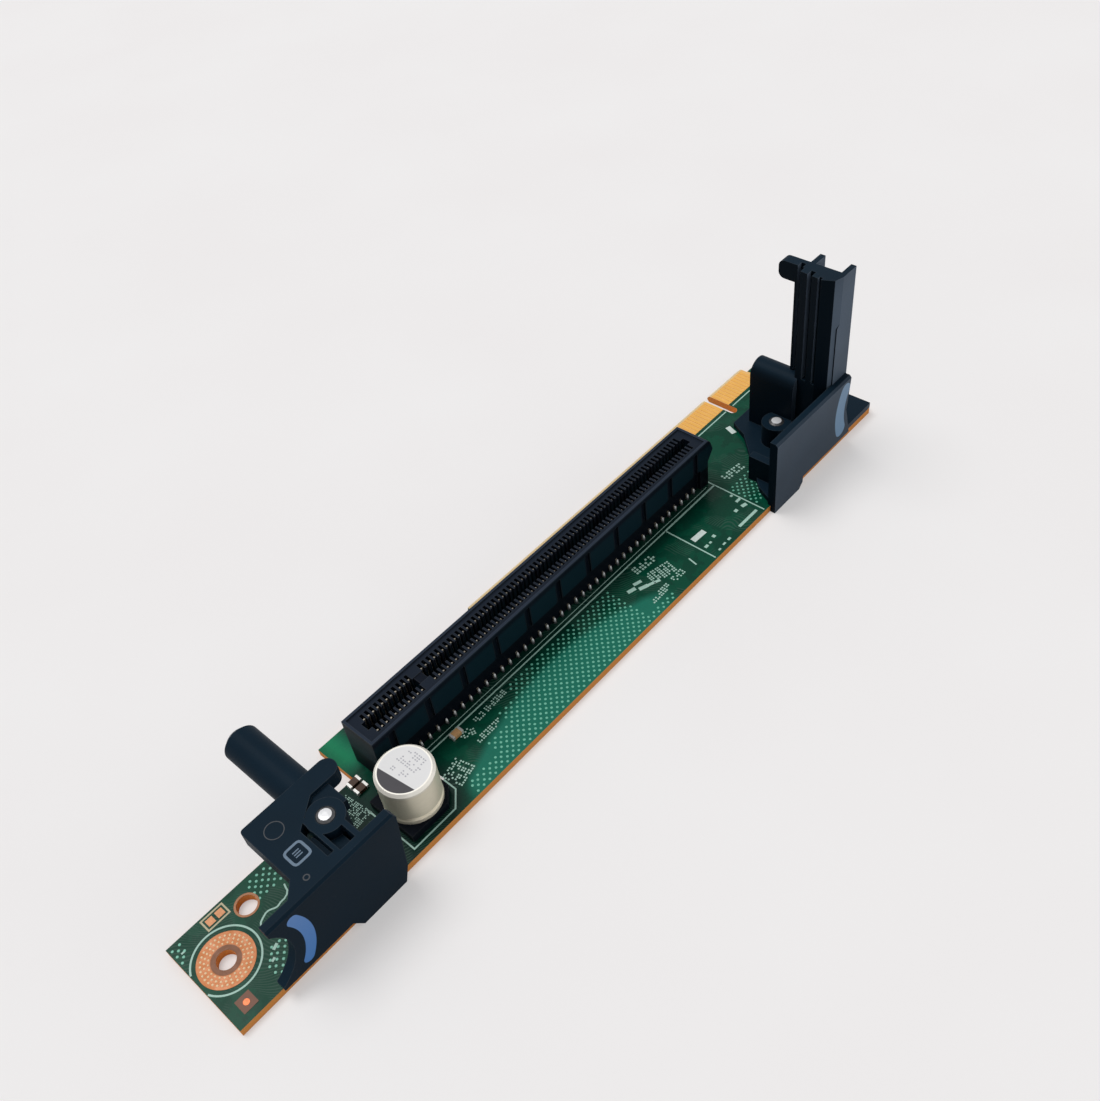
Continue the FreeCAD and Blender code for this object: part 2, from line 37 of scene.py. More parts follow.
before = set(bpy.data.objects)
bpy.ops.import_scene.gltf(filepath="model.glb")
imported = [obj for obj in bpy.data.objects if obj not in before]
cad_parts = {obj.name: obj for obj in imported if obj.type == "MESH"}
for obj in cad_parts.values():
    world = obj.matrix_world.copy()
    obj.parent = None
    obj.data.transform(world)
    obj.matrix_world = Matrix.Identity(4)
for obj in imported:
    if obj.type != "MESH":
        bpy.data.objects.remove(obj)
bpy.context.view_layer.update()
MM = 0.001


# ---------------------------------------------------------------- frame stations, mm
def node_box(name):
    """Lowest and highest corner of a node in millimetres."""
    low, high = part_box(name)
    return np.array(low) / MM, np.array(high) / MM


BOARD_LOW, BOARD_HIGH = node_box("circuit_board")
SLOT_LOW, SLOT_HIGH = node_box("slot_housing")
GUIDE_LOW, GUIDE_HIGH = node_box("guide_bracket")
CAN_LOW, CAN_HIGH = node_box("capacitor_can")
SEAT_LOW, SEAT_HIGH = node_box("capacitor_seat")
TAB_LOW, TAB_HIGH = node_box("edge_contacts_top")
BOARD_TOP = float(BOARD_HIGH[2])
SLOT_FACE = float(SLOT_LOW[1])
CAN_X, CAN_Y = (float(v) for v in (CAN_LOW + CAN_HIGH)[:2] / 2)
PANEL_PITCH = 8.1                           # wall panels of the slot
PANEL_START = float(SLOT_LOW[0]) + 4.0      # middle of the first rib between them
PANEL_FOOT = 4.6                            # above the board
NOTCH = 146.35                              # middle of the key notch
CHIP_DIVIDE = (38.0, 42.0)                  # X between the dark chips and the tan one
GOLD_FADE = (132.0, 112.0)                  # X where the gold's painted sheen starts and ends
WORN_SEAT = 2.5                             # radius of the worn ring on the land
SUNK = 0.01                                 # how far added detail reaches into its ground
SIGN_STEP = 0.85                            # from sign to sign, times their height

# Blue marks on the brackets' walls: the way the arc bends, its centre, its radius, half
# its width, and the angles in radians at which it starts and stops.
GUIDE_MARK = {"side": 1.0, "x": -1.25, "z": BOARD_TOP + 9.0, "radius": 10.95, "half": 0.95,
              "start": -0.56, "stop": 0.46}
ARM_MARK = {"side": -1.0, "x": 160.35, "z": BOARD_TOP + 8.0, "radius": 11.5, "half": 1.6,
            "start": -0.36, "stop": 0.5}
MARK_BLUR = 0.04                            # half the width of the marks' soft edge
MARK_SHADE = 8.0                            # height over which painted light makes them paler, each way
NODE_COLUMN = 180                           # spacing in the node editor


def srgb(r, g, b):
    """Linear colour from screen values of 0 to 255."""
    def one(v):
        v = v / 255
        return v / 12.92 if v <= 0.04045 else ((v + 0.055) / 1.055) ** 2.4
    return (one(r), one(g), one(b), 1.0)


def colour(name, text, rgb):
    """A colour property; its default is given as screen values."""
    return FloatVectorProperty(name=name, description=text, subtype="COLOR", size=4,
                               min=0.0, max=1.0, default=srgb(*rgb))


def length(name, text, mm):
    """A length property; its default is given in millimetres."""
    return FloatProperty(name=name, description=text, subtype="DISTANCE", unit="LENGTH",
                         default=mm * MM, min=0.0, precision=5)


class RiserFinishSettings(bpy.types.PropertyGroup):
    """Colours of the card's finishes."""
    mask: colour("Solder mask", "Green lacquer over the board", (2, 74, 54))
    # the brighter green also serves as a painted reflection in the corner left of the slot
    mask_bright_and_painted_reflection: colour("Mask over pour", "Brighter green over stitched copper", (32, 118, 98))
    # the darker green also serves as painted shade beside the slot, behind the guide plate and
    # round the can
    mask_dark_and_painted_shade: colour("Mask over bare laminate", "Darker green between copper", (5, 33, 29))
    laminate: colour("Board edge", "Cut edge of the laminate", (255, 168, 80))
    resin: colour("Bare resin", "Unlacquered laminate beside the gold", (232, 206, 158))
    gold: colour("Edge gold", "Plating of the card-edge contacts", (246, 186, 88))
    # painted sheen: the paler gold toward the tab's low-X end
    gold_sheen: colour("Pale gold", "Plating toward the tab's long end", (250, 218, 160))
    copper: colour("Bare copper", "Land round the fixing hole", (176, 100, 36))
    bracket: colour("Bracket plastic", "Dark moulded brackets", (16, 36, 50))
    slot: colour("Slot plastic", "Moulded card slot", (12, 20, 32))
    slot_panel: colour("Slot panel", "Tint of the slot's raised wall panels", (14, 37, 47))
    legend: colour("Legend ink", "Printed marks on the board", (172, 210, 196))
    touch_guide: colour("Guide touch mark", "Blue arc on the guide bracket", (96, 156, 232))
    touch_arm: colour("Arm touch mark", "Blue band on the arm bracket", (136, 174, 208))
    can: colour("Can", "Aluminium of the capacitor", (252, 244, 218))
    can_print: colour("Can print", "Polarity segment on the can", (40, 38, 46))
    steel: colour("Rivet steel", "Domes of the two rivets", (206, 208, 212))


class RiserSizeSettings(bpy.types.PropertyGroup):
    """Sizes of the printed and soldered detail."""
    ink: length("Ink height", "How far the ink stands up", 0.02)
    line: length("Legend line", "Width of the legend's lines", 0.28)
    ring_radius: length("Hole ring", "Radius of the ring round the fixing hole", 5.45)
    via_pitch: length("Via pitch", "Distance between vias in the stitched field", 1.4)
    via_radius: length("Via radius", "Radius of one tented via", 0.27)
    seed: IntProperty(name="Seed", description="Order of the random marks", default=7)


def finish():
    """The colours that the panel holds."""
    return bpy.context.scene.riser_finish


def size():
    """The sizes that the panel holds."""
    return bpy.context.scene.riser_size


# ---------------------------------------------------------------- mesh makers
class Shapes:
    """Closed shapes gathered into one mesh. A shape is a grid of points: rings one
    after another, each ring running anticlockwise as seen from ahead of the last."""

    def __init__(self):
        self.points = []
        self.faces = []
        self.count = 0

    def add(self, rings, closed=False):
        """Take shapes as an array of (..., rings, sides, 3). Face (i, k) joins points k
        and k + 1 of ring i to those of ring i + 1; a shape that isn't closed on itself
        also gets its first and last ring as end faces."""
        n, m = rings.shape[-3:-1]
        shapes = rings.reshape(-1, n * m, 3)
        first = self.count + np.arange(len(shapes))[:, None, None] * n * m
        i = np.arange(n if closed else n - 1)[:, None] * m
        k = np.arange(m)
        after = (i + m) % (n * m)
        beside = (k + 1) % m
        walls = np.stack([i + k, i + beside, after + beside, after + k], -1).reshape(-1, 4)
        self.faces.append((first + walls).reshape(-1, 4))
        if not closed:
            ends = np.stack([k[::-1], (n - 1) * m + k])
            self.faces.append((first + ends).reshape(-1, m))
        self.points.append(shapes.reshape(-1, 3))
        self.count += len(shapes) * n * m

    def piece(self, name, material, smooth=False):
        """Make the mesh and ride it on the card."""
        if not self.count:
            raise RuntimeError(f"{name} has no shapes")
        points = np.vstack(self.points) * MM
        corners = np.concatenate([faces.ravel() for faces in self.faces])
        sides = np.concatenate([np.full(len(faces), faces.shape[1]) for faces in self.faces])
        mesh = bpy.data.meshes.new(name)
        mesh.vertices.add(len(points))
        mesh.vertices.foreach_set("co", points.ravel())
        mesh.loops.add(len(corners))
        mesh.loops.foreach_set("vertex_index", corners)
        mesh.polygons.add(len(sides))
        mesh.polygons.foreach_set("loop_start", np.cumsum(sides) - sides)
        mesh.polygons.foreach_set("use_smooth", np.full(len(sides), smooth))
        mesh.update(calc_edges=True)
        mesh.validate()
        mesh.materials.append(material)
        made_piece = bpy.data.objects.new(name, mesh)
        bpy.context.scene.collection.objects.link(made_piece)
        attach(made_piece, "root")


def ribbon(path, width, low, high, closed=False):
    """Rings of a flat bar along a plan path p(i), or along many paths at once: the four
    corners p(i) + s * left(i) * width / (2 cos h) at the low and the high level, where
    s is 1 or -1, left is square to the mean of the runs before and after p(i), and h is
    half the turn between those runs, which keeps mitred corners full."""
    path = np.asarray(path, float)
    ahead = np.roll(path, -1, -2) - path
    if not closed:
        ahead[..., -1, :] = ahead[..., -2, :]
    ahead /= np.linalg.norm(ahead, axis=-1, keepdims=True)
    behind = np.roll(ahead, 1, -2)
    if not closed:
        behind[..., 0, :] = ahead[..., 0, :]
    run = ahead + behind
    run /= np.linalg.norm(run, axis=-1, keepdims=True)
    half = width / 2 / (run * ahead).sum(-1, keepdims=True)
    left = np.stack([-run[..., 1], run[..., 0]], -1) * half
    side = np.array((1, 1, -1, -1))[:, None]
    plan = path[..., None, :] + left[..., None, :] * side
    level = np.broadcast_to(np.array((low, high, high, low))[:, None], plan.shape[:-1] + (1,))
    return np.concatenate([plan, level], -1)


def buttons(centres, levels, sides):
    """Rings of round buttons: for each (radius, height) of levels the circle
    centre + radius * (cos a, sin a), a = 2 pi k / sides, at that height."""
    a = np.arange(sides) * 2 * math.pi / sides
    circle = np.stack([np.cos(a), np.sin(a)], -1)
    radius, height = np.array(levels, float).T
    plan = centres[:, None, None, :] + radius[:, None, None] * circle
    level = np.broadcast_to(height[:, None, None], plan.shape[:-1] + (1,))
    return np.concatenate([plan, level], -1)


def arc(centre, radius, start, stop, n):
    """Points centre + radius * (cos a, sin a) for n even steps of a, in degrees."""
    a = np.radians(np.linspace(start, stop, n))
    return np.stack([centre[0] + radius * np.cos(a), centre[1] + radius * np.sin(a)], 1)


def staggered(field, pitch):
    """Points of a field of rows half a pitch apart in Y, every other row shifted half a
    pitch in X."""
    x0, x1, y0, y1 = field
    x, y = np.meshgrid(np.arange(x0, x1, pitch), np.arange(y0, y1, pitch / 2))
    x = x + (np.arange(len(y)) % 2)[:, None] * pitch / 2
    points = np.stack([x.ravel(), y.ravel()], 1)
    return points[points[:, 0] < x1]


def sign_dashes(rng, origin, along, rows, per_row, height):
    """End points of the dashes of small illegible print. Sign (row, column) stands at
    origin + along * column * step - up * row * drop, and holds two level dashes on each
    of three lines; chance leaves out a few signs and a quarter of the dashes."""
    dash, row_gap, sign_share, dash_share = 0.24, 0.22, 0.92, 0.75
    along = np.asarray(along, float) / np.linalg.norm(along)
    up = np.array((-along[1], along[0]))
    dashes = height * np.array([((x, y), (x + dash, y))
                                for y in (0.05, 0.45, 0.85) for x in (0.0, 0.36)])
    row, column = np.divmod(np.arange(rows * per_row)[:, None], per_row)
    place = origin + along * column * height * SIGN_STEP - up * row * (height + row_gap)
    ends = place[:, None, None, :] + along * dashes[..., :1] + up * dashes[..., 1:]
    shown = rng.random((rows * per_row, 1)) < sign_share
    return ends[shown & (rng.random((rows * per_row, len(dashes))) < dash_share)]


# ---------------------------------------------------------------- shader makers
class Nodes:
    """Short calls for building one node tree."""

    def __init__(self, tree):
        self.tree = tree
        self.x = 0

    def feed(self, value, socket):
        """Link a value that is a socket, and set one that is plain."""
        if isinstance(value, bpy.types.NodeSocket):
            self.tree.links.new(value, socket)
        else:
            socket.default_value = value

    def put(self, kind, inputs=None, **settings):
        """Add a node, a column to the right of the last, with its settings and inputs."""
        node = self.tree.nodes.new(kind)
        self.x += NODE_COLUMN
        node.location = (self.x, 0)
        for key, value in settings.items():
            setattr(node, key, value)
        for key, value in (inputs or {}).items():
            self.feed(value, node.inputs[key])
        return node

    def math(self, operation, a, b=0.0):
        return self.put("ShaderNodeMath", {0: a, 1: b}, operation=operation).outputs[0]

    def times(self, first, *rest):
        """Product of all the values."""
        for value in rest:
            first = self.math("MULTIPLY", first, value)
        return first

    def plus(self, a, b):
        return self.math("ADD", a, b)

    def minus(self, a, b):
        return self.math("SUBTRACT", a, b)

    def most(self, a, b):
        return self.math("MAXIMUM", a, b)

    def distance(self, a, b):
        """Square root of a * a + b * b."""
        return self.math("SQRT", self.plus(self.times(a, a), self.times(b, b)))

    def ramp(self, value, low, high, to_low=0.0, to_high=1.0):
        """Straight change from to_low at low to to_high at high, held beyond them."""
        node = self.put("ShaderNodeMapRange", {"Value": value, "From Min": low, "From Max": high,
                                               "To Min": to_low, "To Max": to_high})
        return node.outputs[0]

    def between(self, value, start, low, high, end):
        """1 from low to high, with straight falls to 0 at start and end."""
        return self.times(self.ramp(value, start, low), self.ramp(value, end, high))

    def mix(self, factor, a, b):
        return self.put("ShaderNodeMix", {0: factor, 6: a, 7: b}, data_type="RGBA").outputs[2]

    def over(self, body, layer, *masks):
        """Lay a colour over the body by the product of the masks."""
        return self.mix(self.times(*masks), body, layer)

    def noise(self, where, scale, detail=3.0, roughness=0.5):
        node = self.put("ShaderNodeTexNoise", {"Vector": where, "Scale": scale, "Detail": detail,
                                               "Roughness": roughness})
        return node.outputs["Fac"]

    def stretched(self, where, factors):
        """A place scaled along each axis, so that noise on it runs in streaks."""
        node = self.put("ShaderNodeVectorMath", {0: where, 1: factors}, operation="MULTIPLY")
        return node.outputs[0]

    def split(self, where):
        return self.put("ShaderNodeSeparateXYZ", {0: where}).outputs

    def normal(self):
        """X, Y and Z of the surface's direction."""
        return self.split(self.put("ShaderNodeNewGeometry").outputs["Normal"])

    def seen(self):
        """1 for rays of the camera, glossy metal and glass, and 0 for the rest."""
        path = self.put("ShaderNodeLightPath").outputs
        direct = self.most(path["Is Camera Ray"], path["Is Glossy Ray"])
        return self.most(direct, path["Is Transmission Ray"])

    def place(self):
        """Object coordinates in millimetres."""
        coords = self.put("ShaderNodeTexCoord").outputs["Object"]
        scaled = self.put("ShaderNodeVectorMath", {0: coords, 3: 1 / MM}, operation="SCALE")
        return scaled.outputs[0]


def shader_group(name, inputs, outputs):
    """An empty shader group with float sockets: its node maker, the sockets that give its
    inputs and those that take its outputs."""
    tree = bpy.data.node_groups.new(name, "ShaderNodeTree")
    for socket, default in inputs.items():
        entry = tree.interface.new_socket(socket, in_out="INPUT", socket_type="NodeSocketFloat")
        entry.default_value = default
    for socket in outputs:
        tree.interface.new_socket(socket, in_out="OUTPUT", socket_type="NodeSocketFloat")
    nodes = Nodes(tree)
    return nodes, nodes.put("NodeGroupInput").outputs, nodes.put("NodeGroupOutput").inputs


def build_groups():
    """Effects that several finishes share."""
    n, given, out = shader_group("moulded_grain", {"Scale": 1.0, "Cloud Scale": 0.08},
                                 ["Grain", "Cloud"])
    where = n.place()
    n.feed(n.noise(where, given["Scale"], 4.0, 0.6), out["Grain"])
    n.feed(n.noise(where, given["Cloud Scale"], 3.0, 0.55), out["Cloud"])

    # edge mask: edge wear, and a painted highlight where finishes lighten the edges with it
    n, given, out = shader_group("edge_wear_and_highlight", {"Radius": 0.25, "Breakup": 0.6}, ["Edge"])
    bevel = n.put("ShaderNodeBevel", {"Radius": n.times(given["Radius"], MM)}, samples=6)
    flat = n.put("ShaderNodeNewGeometry").outputs["Normal"]
    dot = n.put("ShaderNodeVectorMath", {0: bevel.outputs[0], 1: flat}, operation="DOT_PRODUCT")
    turn = n.ramp(dot.outputs["Value"], 0.995, 0.8)
    broken = n.ramp(n.noise(n.place(), 1.2, 5.0, 0.7), 0.35, 0.65)
    n.feed(n.times(turn, n.minus(1.0, n.times(given["Breakup"], broken))), out["Edge"])

    n, given, out = shader_group("fine_dust", {"Amount": 0.3}, ["Dust"])
    where = n.place()
    specks = n.put("ShaderNodeTexVoronoi", {"Vector": where, "Scale": 1.6})
    spot = n.ramp(specks.outputs["Distance"], 0.12, 0.04)
    patch = n.ramp(n.noise(where, 0.12), 0.45, 0.7)
    n.feed(n.times(spot, patch, given["Amount"]), out["Dust"])

    n, given, out = shader_group("arc_patch", {"Across": 0.0, "Up": 0.0, "Radius": 10.0,
                                               "Half Width": 1.0, "Start": -0.5, "Stop": 0.5},
                                 ["Mask"])
    u, v, radius = given["Across"], given["Up"], given["Radius"]
    angle = n.math("ARCTAN2", v, u)
    held = n.math("MINIMUM", n.most(angle, given["Start"]), given["Stop"])
    du = n.minus(u, n.times(radius, n.math("COSINE", held)))
    dv = n.minus(v, n.times(radius, n.math("SINE", held)))
    gap = n.minus(n.distance(du, dv), given["Half Width"])
    n.feed(n.ramp(gap, MARK_BLUR, -MARK_BLUR), out["Mask"])


class Finish:
    """One material: its tree, its principled shader and shared groups."""

    def __init__(self, name):
        self.material = bpy.data.materials.new(name)
        self.material.use_nodes = True
        tree = self.material.node_tree
        tree.nodes.clear()
        self.n = Nodes(tree)
        out = self.n.put("ShaderNodeOutputMaterial")
        self.shader = self.n.put("ShaderNodeBsdfPrincipled")
        tree.links.new(self.shader.outputs[0], out.inputs[0])

    def group(self, name, **values):
        """Place a shared group with this material's own values."""
        node = self.n.put("ShaderNodeGroup", node_tree=bpy.data.node_groups[name])
        for key, value in values.items():
            self.n.feed(value, node.inputs[key.replace("_", " ")])
        return node.outputs

    def set(self, **values):
        """Feed the principled shader's sockets."""
        for key, value in values.items():
            self.n.feed(value, self.shader.inputs[key.replace("_", " ")])

    def done(self, body, roughness, height, strength, depth, **values):
        """Feed colour, roughness and a bump of the height, depth in mm; give the material."""
        bump = self.n.put("ShaderNodeBump", {"Height": height, "Strength": strength,
                                             "Distance": depth * MM})
        self.set(Base_Color=body, Roughness=roughness, Normal=bump.outputs[0], **values)
        return self.material


def darker(rgb, k):
    """The colour times k."""
    return (rgb[0] * k, rgb[1] * k, rgb[2] * k, 1.0)


def lighter(rgb, k):
    """The colour moved toward white by the share k."""
    return tuple(c + (1 - c) * k for c in rgb[:3]) + (1.0,)


def touch_patch(f, body, mark, ink):
    """Blue round-ended arc band on a wall that looks along -Y, with light wear, and paler
    higher up as painted light.
    """
    n = f.n
    where = n.place()
    x, y, z = n.split(where)
    wall = float(GUIDE_LOW[1])
    band = f.group("arc_patch", Across=n.times(n.minus(x, mark["x"]), mark["side"]),
                   Up=n.minus(z, mark["z"]), Radius=mark["radius"], Half_Width=mark["half"],
                   Start=mark["start"], Stop=mark["stop"])
    front = n.ramp(y, wall + 0.3, wall + 0.2)
    wear = n.ramp(n.noise(where, 1.5, 5.0, 0.7), 0.62, 0.8, 1.0, 0.8)
    # painted light: the mark paler higher up
    painted_light_rise = n.ramp(z, mark["z"] - MARK_SHADE, mark["z"] + MARK_SHADE)
    return n.over(body, n.mix(painted_light_rise, ink, lighter(ink, 0.12)), band["Mask"], front, wear)


def slot_panels(f, body, base, panel):
    """Tint of the slot's wall: round-cornered panels between ribs, a darker foot and a
    painted highlight on its top rim. A panel's corner is round about a point corner_x from
    the rib's middle and corner_z above the foot."""
    n = f.n
    x, _, z = n.split(n.place())
    top = float(SLOT_HIGH[2])
    foot = BOARD_TOP + PANEL_FOOT
    corner_x, corner_z = 2.1, 1.4
    round_out, round_in = 1.5, 1.15
    from_rib = n.math("PINGPONG", n.minus(x, PANEL_START), PANEL_PITCH / 2)
    past = n.distance(n.most(n.minus(corner_x, from_rib), 0.0),
                      n.most(n.minus(foot + corner_z, z), 0.0))
    inside = n.times(n.ramp(past, round_out, round_in), n.ramp(z, top - 1.0, top - 1.8))
    body = n.over(body, darker(base, 0.3), n.ramp(z, foot + 0.8, foot), 0.7)
    body = n.over(body, panel, inside)
    # painted highlight: the top rim lighter
    return n.over(body, srgb(52, 63, 78), n.ramp(z, top - 0.5, top - 0.1), 0.7)


def painted_side_light(f, body, base, cloud, side_light_strength):
    """Painted light on the faces that look along -Y: a grey lightening, stronger higher up;
    and painted shade that darkens the faces that look along -X."""
    n = f.n
    facing_x, facing_y, _ = n.normal()
    # painted shade: faces looking along -X darkened
    body = n.over(body, darker(base, 0.25), n.ramp(facing_x, -0.6, -0.9), 0.85)
    # painted light: faces looking along -Y lightened with grey, more so higher up
    stronger_higher = n.ramp(n.split(n.place())[2], 8.0, 26.0, 0.45, 1.0)
    return n.over(body, srgb(122, 138, 156), n.ramp(facing_y, -0.6, -0.9),
                  n.ramp(cloud, 0.0, 1.0, 0.8, 1.0), stronger_higher, side_light_strength)


def plastic_finish(name, rgb, rub, grain_scale, roughness, touch=None, panels=None,
                   side_light_strength=0.0):
    """Fine-grained moulded plastic, lighter at its edges from edge wear and a painted highlight.
    It may have a blue touch mark (mark and ink), a tint for wall panels, and painted light on
    its walls that look along -Y with painted shade on those that look along -X."""
    f = Finish(name)
    n = f.n
    grain = f.group("moulded_grain", Scale=grain_scale, Cloud_Scale=0.09)
    cloud = n.ramp(grain["Cloud"], 0.3, 0.7)
    body = n.mix(cloud, darker(rgb, 0.8), lighter(rgb, 0.001))
    if panels is not None:
        body = slot_panels(f, body, rgb, panels)
    body = n.over(body, lighter(rgb, 0.012), n.ramp(grain["Grain"], 0.35, 0.7), 0.18)
    # lighter edges: edge wear and a painted highlight
    edge = f.group("edge_wear_and_highlight", Radius=0.22, Breakup=0.5)["Edge"]
    body = n.over(body, lighter(rgb, 0.12), edge, rub)
    dust = f.group("fine_dust", Amount=0.15)["Dust"]
    body = n.over(body, lighter(rgb, 0.2), dust)
    if side_light_strength:
        body = painted_side_light(f, body, rgb, cloud, side_light_strength)
    if touch:
        body = touch_patch(f, body, *touch)
    return f.done(body, n.ramp(grain["Cloud"], 0.2, 0.8, roughness - 0.06, roughness + 0.08),
                  grain["Grain"], 0.35, 0.04, Specular_IOR_Level=0.04)


def rivet_finish():
    """Steel dome with a painted highlight on top, darkening toward its rim as painted shade."""
    steel = finish().steel
    f = Finish("rivet_steel")
    n = f.n
    facing = n.normal()[2]
    scuff = n.noise(n.place(), 3.0, 4.0, 0.6)
    # painted highlight on the top of the dome, painted shade toward the rim
    body = n.mix(n.ramp(facing, 0.985, 0.88), lighter(steel, 0.5), darker(steel, 0.1))
    body = n.over(body, darker(steel, 0.5), n.ramp(scuff, 0.55, 0.75), 0.3)
    return f.done(body, n.ramp(scuff, 0.25, 0.75, 0.24, 0.42), scuff, 0.15, 0.02,
                  Metallic=0.15)


def metal_finish(name, rgb, roughness, metallic):
    """Lightly scuffed metal with a little tarnish."""
    f = Finish(name)
    n = f.n
    where = n.place()
    scuff = n.noise(where, 3.0, 4.0, 0.6)
    cloud = n.ramp(n.noise(where, 0.7, 3.0), 0.35, 0.75)
    body = n.over(rgb, darker(rgb, 0.6), cloud, 0.3)
    return f.done(body, n.ramp(scuff, 0.25, 0.75, roughness - 0.08, roughness + 0.1),
                  scuff, 0.15, 0.02, Metallic=metallic)


def chip_finish():
    """Fired ceramic: the pair by the guide bracket dark brown, the one by the slot tan."""
    f = Finish("chip_ceramic")
    n = f.n
    where = n.place()
    grain = n.noise(where, 6.0, 3.0, 0.6)
    dark, tan = srgb(62, 40, 30), srgb(206, 160, 110)
    body = n.mix(n.ramp(n.split(where)[0], *CHIP_DIVIDE), dark, tan)
    body = n.over(body, darker(tan, 0.35), n.ramp(grain, 0.4, 0.7), 0.3)
    return f.done(body, n.ramp(grain, 0.3, 0.7, 0.4, 0.55), grain, 0.2, 0.02,
                  Specular_IOR_Level=0.3)


def tail_finish():
    """Solder dark at the board as painted shade, bright at the tip of each tail as a painted
    highlight.
    """
    f = Finish("tail_solder")
    n = f.n
    where = n.place()
    painted_shade_grey, bright, stained = srgb(70, 74, 76), srgb(240, 242, 242), srgb(90, 92, 92)
    cloud = n.noise(where, 2.0, 3.0, 0.6)
    # painted shade at the foot, painted highlight at the tip
    tip = n.ramp(n.split(where)[2], BOARD_TOP + 0.35, BOARD_TOP + 1.0)
    body = n.over(n.mix(tip, painted_shade_grey, bright), stained, n.ramp(cloud, 0.45, 0.75), 0.25)
    return f.done(body, n.ramp(cloud, 0.3, 0.7, 0.34, 0.5), cloud, 0.2, 0.02, Metallic=0.1)


def board_masks(n, x, y):
    """Masks on the board: the stitched field, whose upper brink is the parabola
    crown_y - sag * (x - crown_x) ** 2; the corner left of the slot, which takes a painted
    reflection; and the painted shade beside the slot, behind the guide plate and round the can."""
    crown_x, crown_y, sag = 71.0, -1.3, 0.0085
    from_crown = n.minus(x, crown_x)
    brink = n.minus(crown_y, n.times(from_crown, from_crown, sag))
    stitched = n.times(n.ramp(n.minus(y, brink), 0.8, -0.8),
                       n.between(x, 42.0, 45.0, 93.0, 98.0))
    # painted reflection: the corner left of the slot, on its far side
    corner = n.times(n.ramp(x, 38.5, 35.5), n.ramp(y, 9.0, 12.5))
    from_face = n.math("ABSOLUTE", n.minus(y, SLOT_FACE))
    by_slot = n.times(n.ramp(from_face, 5.5, 0.5),
                      n.between(x, SLOT_LOW[0], SLOT_LOW[0] + 6.0, SLOT_HIGH[0] - 4.0,
                                SLOT_HIGH[0]))
    by_plate = n.between(x, 16.0, 20.0, 31.0, 35.0)
    by_can = n.ramp(n.distance(n.minus(x, CAN_X), n.minus(y, CAN_Y)), 9.5, 7.0)
    return stitched, corner, n.most(by_slot, n.most(by_plate, by_can))


def board_finish():
    """Solder mask over copper pours and tracks, cut laminate at the edges, with a painted
    reflection in the corner left of the slot and painted shade beside the slot, behind the
    guide plate and round the can.
    """
    c = finish()
    f = Finish("solder_mask")
    n = f.n
    where = n.place()
    x, y, z = n.split(where)
    facing = n.normal()[2]
    pour = n.ramp(n.noise(where, 0.3, 3.0, 0.5), 0.46, 0.5)
    stitched, corner, painted_shade = board_masks(n, x, y)
    bright = n.most(stitched, corner)
    body = n.over(c.mask, c.mask_dark_and_painted_shade, pour, 0.3)
    # brighter green: real over the stitched copper, and a painted reflection in the corner left
    # of the slot
    body = n.over(body, c.mask_bright_and_painted_reflection, bright, 0.9)
    body = n.over(body, srgb(26, 142, 92), corner, 0.7)
    # painted shade: darker mask beside the slot, behind the guide plate and round the can
    body = n.over(body, c.mask_dark_and_painted_shade, painted_shade, 0.8)

    track_half, weave_half, ply = 0.32, 0.3, 0.13
    bend = n.times(n.noise(where, 0.1, 1.0), 14.0)
    across = n.plus(n.plus(x, n.times(y, 0.8)), bend)
    track = n.ramp(n.math("PINGPONG", across, track_half), 0.18, 0.22)
    routed = n.ramp(n.noise(where, 0.14, 2.0), 0.5, 0.54)
    tracks = n.times(track, routed, n.minus(1.0, bright))
    body = n.over(body, lighter(c.mask, 0.06), tracks, 0.4)
    weave = n.plus(n.math("PINGPONG", x, weave_half), n.math("PINGPONG", y, weave_half))
    body = n.over(body, darker(c.mask, 0.5), weave, 0.12)

    in_tab = n.times(n.ramp(y, TAB_LOW[1] - 0.05, TAB_LOW[1] + 0.05),
                     n.between(x, TAB_LOW[0] - 1.0, TAB_LOW[0] - 0.9, TAB_HIGH[0] + 0.9,
                               TAB_HIGH[0] + 1.0))
    past_gold = n.ramp(y, TAB_HIGH[1], TAB_HIGH[1] + 0.15)
    body = n.over(body, n.mix(past_gold, lighter(c.gold, 0.1), c.resin), in_tab)

    layer = n.math("PINGPONG", n.plus(z, n.times(n.noise(where, 0.8), 0.1)), ply)
    grainy = n.noise(where, 4.0, 4.0, 0.7)
    cut = n.mix(n.ramp(layer, 0.0, ply), darker(c.laminate, 0.88), c.laminate)
    cut = n.over(cut, lighter(c.laminate, 0.25), n.ramp(grainy, 0.45, 0.75), 0.5)
    flat = n.most(n.ramp(n.math("ABSOLUTE", facing), 0.55, 0.75),
                  n.times(n.ramp(facing, 0.35, 0.45), in_tab))
    smear = n.ramp(n.noise(where, 0.35, 4.0), 0.3, 0.7, 0.2, 0.34)
    roughness = n.plus(smear, n.times(n.minus(1.0, flat), 0.35))
    height = n.plus(n.plus(n.times(tracks, 0.6), n.times(pour, 0.2)), n.times(weave, 0.15))
    return f.done(n.mix(flat, cut, body), roughness, height, 0.25, 0.03,
                  Specular_IOR_Level=0.1)


